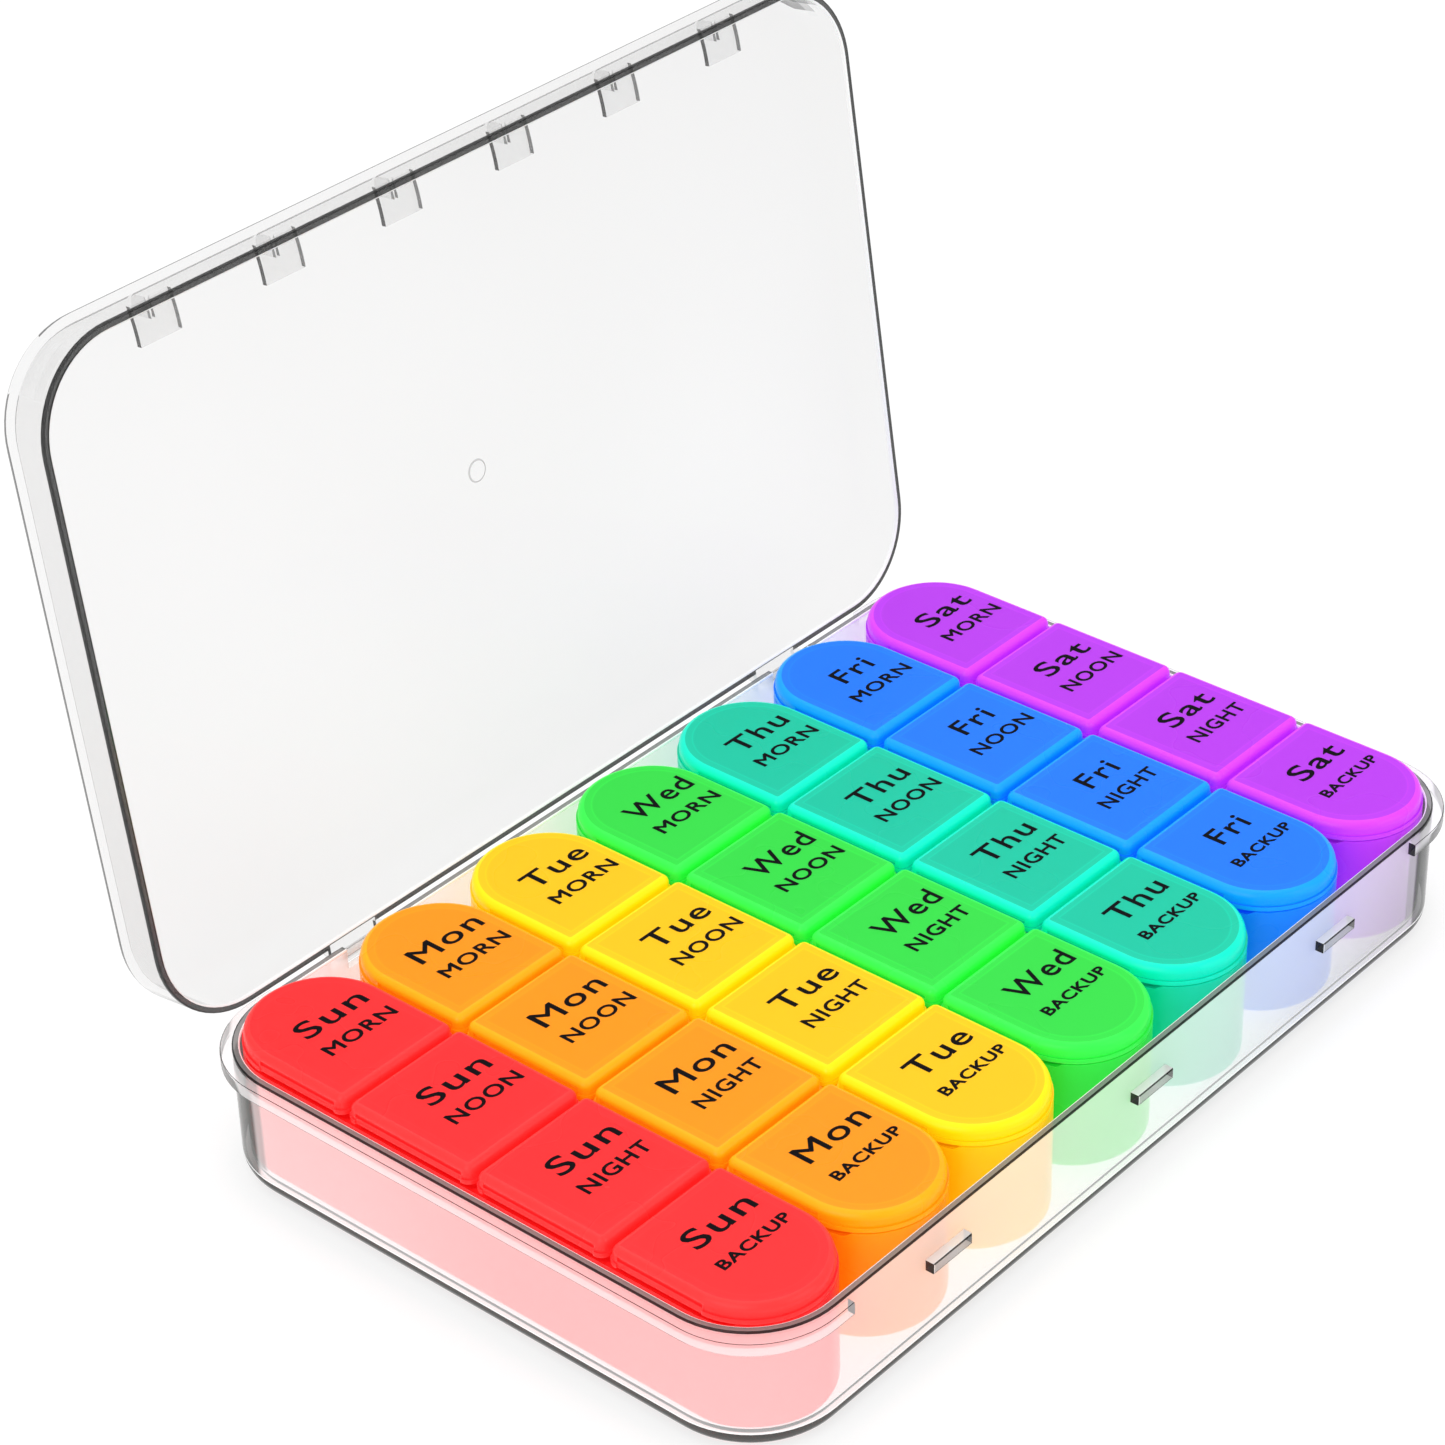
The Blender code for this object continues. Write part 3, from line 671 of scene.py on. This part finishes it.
def clearFinish(name, looks, rimZ, opens, turned=0.0):  # opens +1 has its rim facing up, -1 down
    finish = Finish(name)
    c = clearLooks
    place = finish.add('ShaderNodeTexCoord', output='Object')
    normal = finish.add('ShaderNodeTexCoord', output='Normal')
    if turned:  # the lid is shaded in the frame where it is shut
        swing = Matrix.Rotation(turned, 3, 'X')
        place = finish.add('ShaderNodeMapping', {}, {"Vector": place, "Rotation": (turned, 0, 0),
                                                     "Location": lidAxis - swing @ lidAxis})
        normal = finish.add('ShaderNodeMapping', {"vector_type": 'VECTOR'},
                            {"Vector": normal, "Rotation": (turned, 0, 0)})
    x, y, z = finish.split(place)
    nx, ny, nz = finish.split(normal)
    outward = (nx * x + ny * y) > 0.0
    # painted shade: the colour turns dark where the surface is seen edge-on, standing in for the dark edges
    # of clear plastic
    facing = finish.add('ShaderNodeLayerWeight', {}, {"Blend": 0.5}, "Facing")
    edge = finish.add('ShaderNodeMapRange', {"interpolation_type": 'SMOOTHSTEP'},
                      {"Value": facing, "From Min": looks["edgeFrom"], "From Max": looks["edgeTo"]})
    flow = finish.noise(place, c["flowScale"], 2.0)
    drift = finish.noise(place, c["driftScale"], 1.0)
    below = opens * rimZ - opens * z
    atRim = (below < looks["rimLine"]) * (below > -c["proud"])
    rimFace = (nz * opens) > levelFace
    turnedEdge = atRim * (1.0 - rimFace)
    layers = [(edge, looks["edge"])]
    flank = nx * nx + ny * ny
    if opens > 0:
        corner = caseSizes["corner"]
        qx = finish.larger(abs(x) - (caseX - corner), 0.0)
        qy = finish.larger(abs(y) - (caseY - corner), 0.0)
        ribs = (qx * qx + qy * qy > (corner + c["proud"]) ** 2) * (z > ledgeLow) * (y < caseY)
        bumps = ribs * (z < rim - ledgeSizes["drop"] - ledgeSizes["height"] - mm)
        crease = ribs * (flank > c["creaseLow"]) * (flank < c["creaseHigh"])
        # painted shade: a dark band round the foot, with a painted highlight line above it
        band = (z < c["footHigh"]) * outward * (flank > c["bandLow"])
        floor = (z < caseSizes["floor"] + near) * (abs(nz) > c["floorFacing"])
        line = (z > c["footHigh"]) * (z < c["footHigh"] + c["lineHigh"]) * outward
        layers += [(floor, looks["floor"]), (line, looks["footLine"]), (band, looks["foot"]),
                   # painted light on the bump tops, painted shade on their fronts
                   (bumps * (nz > mostly), c["bumpTop"]), (bumps * (ny < -mostly), c["bumpFront"]),
                   # painted shade on the up-facing creases of the ribs and bumps, a painted highlight on the
                   # down-facing ones
                   (crease * (nz < 0.0), c["underCrease"]), (crease * (nz > 0.0), c["crease"]),
                   (crease * bumps, c["crease"]),
                   # painted shade: the ribs' end faces are black
                   (ribs * (abs(nx) > mostly) * (abs(x) < ledgeSizes["endX"] + 2 * mm), c["end"])]
    else:
        wall = caseSizes["wall"]
        pads = ((y < wall - caseY + padSizes["reach"] + mm / 2) * (y > wall - caseY + mm / 20)
                * (z < lidTop - caseSizes["panel"] - near) * (abs(x) < caseX - 2 * wall)
                * (z > flapTop))
        plate = pads * (z < flapTop + padSizes["gap"] + padSizes["curl"] + padSizes["thick"] + c["proud"])
        webs = pads * (1.0 - plate)
        ring = x * x + y * y
        gateInner, gateOuter = gateSizes["radius"] - c["gateRing"], gateSizes["radius"] + c["gateRing"]
        # painted shade: a dark outline along the lid's rounded shoulder where it turns away from view
        shoulder = ((z > lidTop - caseSizes["lidRound"]) * outward * (flank > c["shoulderLow"])
                    * (flank < c["shoulderHigh"]) * (facing > c["shoulderFacing"]))
        layers += [(shoulder, looks["outline"]), (plate, c["padFace"]), (plate * (ny > 0.6), c["padTip"]),
                   # painted shade on the pads: darker tips and web edges, the left sides darkest
                   (plate * (nx < -mostly), c["padLeft"]), (plate * (nx > mostly), c["padRight"]),
                   (webs, c["web"]), (webs * (ny > 0.6), c["webEdge"]),
                   ((ring > gateInner ** 2) * (ring < gateOuter ** 2) * (z > lidTop - mm), c["gate"])]
    # painted shade and highlight at the rim: a black outer edge, a pale inner edge and a darkened rim face
    layers += [(turnedEdge * outward, looks["rimOuter"]), (turnedEdge * (1.0 - outward), looks["rimInner"]),
               (atRim * rimFace, looks["rimFace"])]
    colour, solid = looks["body"], looks["haze"] * (c["hazeLow"] + c["hazeSpread"] * drift)
    for mask, (tone, strength) in layers:
        colour = finish.mix(mask, colour, tone)
        solid = solid * (1.0 - mask) + strength * mask
    # the emission is a painted glow of the case's own colour, making the clear walls look lit
    finish.surface(Base_Color=colour, Alpha=solid, Roughness=c["roughness"] + c["roughSpread"] * flow,
                   Specular_IOR_Level=c["specular"], IOR=1.5,
                   Emission_Color=colour, Emission_Strength=looks["lift"])
    return finish.material


def tintFinish(day, middle):
    finish = Finish(day + "_tint")
    t = tintLooks
    deep, bright = tints[day]
    place = finish.add('ShaderNodeTexCoord', output='Object')
    x, y, z = finish.split(place)
    nx, ny, nz = finish.split(finish.add('ShaderNodeTexCoord', output='Normal'))
    flat = nz > levelFace
    across, along = abs(x - middle), abs(y)
    past = finish.larger(along - (boxEnd - boxHalf), 0.0)
    toMiddle = finish.add('ShaderNodeMath', {"operation": 'SQRT'}, {0: across * across + past * past})
    fromSide = boxHalf - toMiddle
    fromGroove = finish.smaller(along, abs(along - flapPitch))
    inward = finish.smaller(fromSide, fromGroove)  # distance in from the flap's own edge
    within = finish.add('ShaderNodeMapRange', {"interpolation_type": 'SMOOTHSTEP'},
                        {"Value": inward, "From Min": t["frameStart"], "From Max": t["frameEnd"]})
    # painted highlight line over the seal ring beneath the top, and painted shade filling the cap inside it
    sealLightLine = (inward > t["frameStart"]) * (inward < t["frameStart"] + t["sealLightLine"])
    # painted highlight on rounded faces, stronger on the caps
    rounded = (1.0 - flat) * (t["roundBody"] + t["roundCap"] * (z > t["cap"]))
    cloud = finish.noise(place, t["cloudScale"], 2.0)
    core = tuple(t["shade"] * value for value in deep[:3]) + (1,)
    withSealLight = finish.mix(flat * sealLightLine * t["frameLine"], deep, bright)
    top = finish.mix(flat * within * t["frameFill"], withSealLight, core)
    colour = finish.mix(t["roundHighlight"] * rounded, top, bright)
    # the emission is a painted glow of the plastic's own colour
    finish.surface(Base_Color=colour, Emission_Color=colour, Emission_Strength=t["glow"],
                   Roughness=t["roughness"] + t["roughSpread"] * cloud,
                   Subsurface_Weight=t["bury"], Subsurface_Radius=(t["depth"],) * 3, Subsurface_Scale=1.0,
                   Specular_IOR_Level=t["specular"], IOR=1.46)
    return finish.material


def inkFinish():
    finish = Finish("print_ink")
    place = finish.add('ShaderNodeTexCoord', output='Object')
    speck = finish.noise(place, 2600.0, 4.0)
    finish.surface(Base_Color=finish.mix(speck, (0.002, 0.002, 0.003, 1), (0.008, 0.007, 0.009, 1)),
                   Roughness=0.5 + 0.2 * speck, Specular_IOR_Level=0.04)
    return finish.material


def dress(piece, finish, body, node=None):
    piece.data.materials.clear()
    piece.data.materials.append(finish)
    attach(piece, body)
    if node:
        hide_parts(node)


# stage, light and camera
viewSettings = {"azimuth": -48.51, "elevation": 32.759, "roll": -1.667, "distance": 0.7698,
                "slide": (-0.024645, 0.032768), "lens": 102.08, "sensor": 36}
lightSettings = [
    ("top_softbox", (0.15, 0.25, 1.15), 1.3, 5.0),
    ("left_softbox", (-0.95, -0.15, 0.65), 0.8, 3.6),
    ("front_softbox", (0.25, -1.0, 0.6), 0.7, 2.0),
]
lightAim = (0, 0, 0.03)
skySettings = {"low": (0.78, 0.78, 0.78, 1), "high": (1.0, 1.0, 1.0, 1), "strength": 0.72,
               "fadeFrom": 0.05, "fadeTo": 0.45}
floorSettings = {"size": 14, "drop": 0.2 * mm, "dark": (0.30, 0.30, 0.30, 1), "light": (0.32, 0.32, 0.32, 1),
                 "grain": 3.0, "roughness": 0.9, "glow": 0.72}


def makeStage():
    calm()
    s = floorSettings
    bpy.ops.mesh.primitive_plane_add(size=s["size"], location=(0, 0, -s["drop"]))
    floor = bpy.context.object
    floor.name = "pale_floor"
    finish = Finish("pale_paper")
    place = finish.add('ShaderNodeTexCoord', output='Object')
    finish.surface(Base_Color=finish.mix(finish.noise(place, s["grain"]), s["dark"], s["light"]),
                   Roughness=s["roughness"], Specular_IOR_Level=0.0,
                   Emission_Color=(1, 1, 1, 1), Emission_Strength=s["glow"])
    floor.data.materials.append(finish.material)
    for name, spot, size, power in lightSettings:
        lamp = bpy.data.lights.new(name, 'AREA')
        lamp.size = size
        lamp.energy = power
        holder = bpy.data.objects.new(name, lamp)
        holder.location = spot
        holder.rotation_euler = (Vector(lightAim) - Vector(spot)).to_track_quat('-Z', 'Y').to_euler()
        bpy.context.scene.collection.objects.link(holder)
    world = bpy.data.worlds.new("soft_room")
    world.use_nodes = True
    nodes, links = world.node_tree.nodes, world.node_tree.links
    height = nodes.new('ShaderNodeSeparateXYZ')
    fade = nodes.new('ShaderNodeMapRange')
    blendColour = nodes.new('ShaderNodeMix')
    blendColour.data_type = 'RGBA'
    links.new(nodes.new('ShaderNodeTexCoord').outputs["Generated"], height.inputs[0])
    links.new(height.outputs[2], fade.inputs["Value"])
    fade.inputs["From Min"].default_value = skySettings["fadeFrom"]
    fade.inputs["From Max"].default_value = skySettings["fadeTo"]
    links.new(fade.outputs[0], blendColour.inputs[0])
    blendColour.inputs[6].default_value = skySettings["low"]
    blendColour.inputs[7].default_value = skySettings["high"]
    links.new(blendColour.outputs[2], nodes["Background"].inputs["Color"])
    nodes["Background"].inputs["Strength"].default_value = skySettings["strength"]
    bpy.context.scene.world = world
    bpy.context.scene.view_settings.view_transform = 'Standard'


def makeCamera():
    v = viewSettings
    a, e, roll = (math.radians(v[k]) for k in ("azimuth", "elevation", "roll"))
    back = Vector((math.sin(a) * math.cos(e), -math.cos(a) * math.cos(e), math.sin(e)))
    level = Vector((0, 0, 1)).cross(back).normalized()
    up = back.cross(level)
    right = math.cos(roll) * level + math.sin(roll) * up
    top = math.cos(roll) * up - math.sin(roll) * level
    camera = bpy.data.cameras.new("viewer")
    camera.lens = v["lens"]
    camera.sensor_width = v["sensor"]
    holder = bpy.data.objects.new("viewer", camera)
    turn = Matrix((right, top, back)).transposed().to_4x4()
    spot = Vector((0, 0, flapTop)) + back * v["distance"] + right * v["slide"][0] + top * v["slide"][1]
    holder.matrix_world = Matrix.Translation(spot) @ turn
    bpy.context.scene.collection.objects.link(holder)
    bpy.context.scene.camera = holder


# put together
makeCamera()
makeStage()
clearTray = clearFinish("clear_tray_plastic", clearLooks["tray"], rim, 1)
clearLid = clearFinish("clear_lid_plastic", clearLooks["lid"], lidBottom, -1, openAngle)
dress(makeTray(), clearTray, "tray", "tray")
dress(makeLid(), clearLid, "case_lid", "case_lid")
print("clear case made")

ink = inkFinish()
boxShape = makeBox()
flapShapes = [makeFlap(bay) for bay in range(len(times))]
print("box and flaps modelled")
for count, day in enumerate(days):
    x = (count - (len(days) - 1) / 2) * dayPitch
    tint = tintFinish(day, x)
    node = day + "_box"
    dress(copyOf(boxShape, day + "_body", (x, 0, 0)), tint, node, node)
    for time, shape in zip(times, flapShapes):
        node = day + "_" + time + "_flap"
        dress(copyOf(shape, day + "_" + time + "_cap", (x, 0, 0)), tint, node, node)
        dress(makePrint(day, time, x), ink, node)
for shape in [boxShape] + flapShapes:
    bpy.data.objects.remove(shape, do_unlink=True)
print("boxes, flaps and words placed")

calm()
